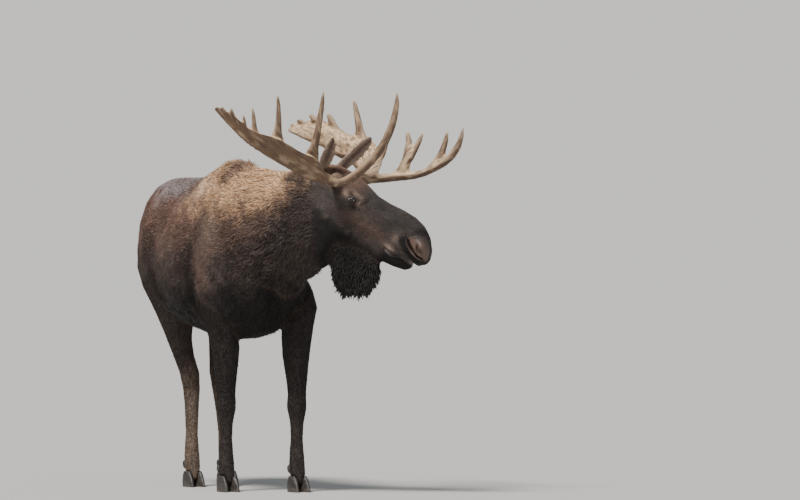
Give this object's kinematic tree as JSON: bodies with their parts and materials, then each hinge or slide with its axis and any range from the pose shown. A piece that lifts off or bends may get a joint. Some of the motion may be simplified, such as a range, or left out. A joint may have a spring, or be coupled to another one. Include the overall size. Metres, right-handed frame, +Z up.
{
  "type": "moose",
  "caption": "Life-size standing bull moose with its head turned left, cloven hooves, hanging throat bell and broad palmed antlers",
  "frame": {"origin": "the middle of the box round the whole animal, at the level of the hoof soles", "axes": "+X runs forward along the spine, +Y is the animal's left, +Z is up"},
  "size_m": [2.3916, 1.5344, 2.2923],
  "materials": {
    "trunk_coat": "short coarse hair, dark brown above and nearly black below",
    "mane_coat": "long coarse hair, golden brown at the tips",
    "head_coat": "short dark brown hair, bare grey skin at the nose",
    "bell_coat": "long black hair",
    "ear_coat": "short grey-brown hair, paler inside",
    "leg_coat": "short dark grey-brown hair",
    "antler_bone": "dry grooved bone, brown with worn pale tips",
    "hoof_horn": "dull black horn",
    "eye": "wet dark brown eyeball"
  },
  "bodies": {
    "root": {"antler_left_beam": "antler_bone", "antler_left_brow": "antler_bone", "antler_left_palm": "antler_bone", "antler_right_beam": "antler_bone", "antler_right_brow": "antler_bone", "antler_right_palm": "antler_bone", "bell": "bell_coat", "ear_left": "ear_coat", "ear_right": "ear_coat", "eye_left": "eye", "eye_right": "eye", "foreleg_left": "leg_coat", "foreleg_left_dewclaw_left": "hoof_horn", "foreleg_left_dewclaw_right": "hoof_horn", "foreleg_left_hoof_left": "hoof_horn", "foreleg_left_hoof_right": "hoof_horn", "foreleg_right": "leg_coat", "foreleg_right_dewclaw_left": "hoof_horn", "foreleg_right_dewclaw_right": "hoof_horn", "foreleg_right_hoof_left": "hoof_horn", "foreleg_right_hoof_right": "hoof_horn", "head": "head_coat", "hindleg_left": "leg_coat", "hindleg_left_dewclaw_left": "hoof_horn", "hindleg_left_dewclaw_right": "hoof_horn", "hindleg_left_hoof_left": "hoof_horn", "hindleg_left_hoof_right": "hoof_horn", "hindleg_right": "leg_coat", "hindleg_right_dewclaw_left": "hoof_horn", "hindleg_right_dewclaw_right": "hoof_horn", "hindleg_right_hoof_left": "hoof_horn", "hindleg_right_hoof_right": "hoof_horn", "neck": "mane_coat", "tail": "trunk_coat", "trunk": "trunk_coat"}
  },
  "joints": []
}
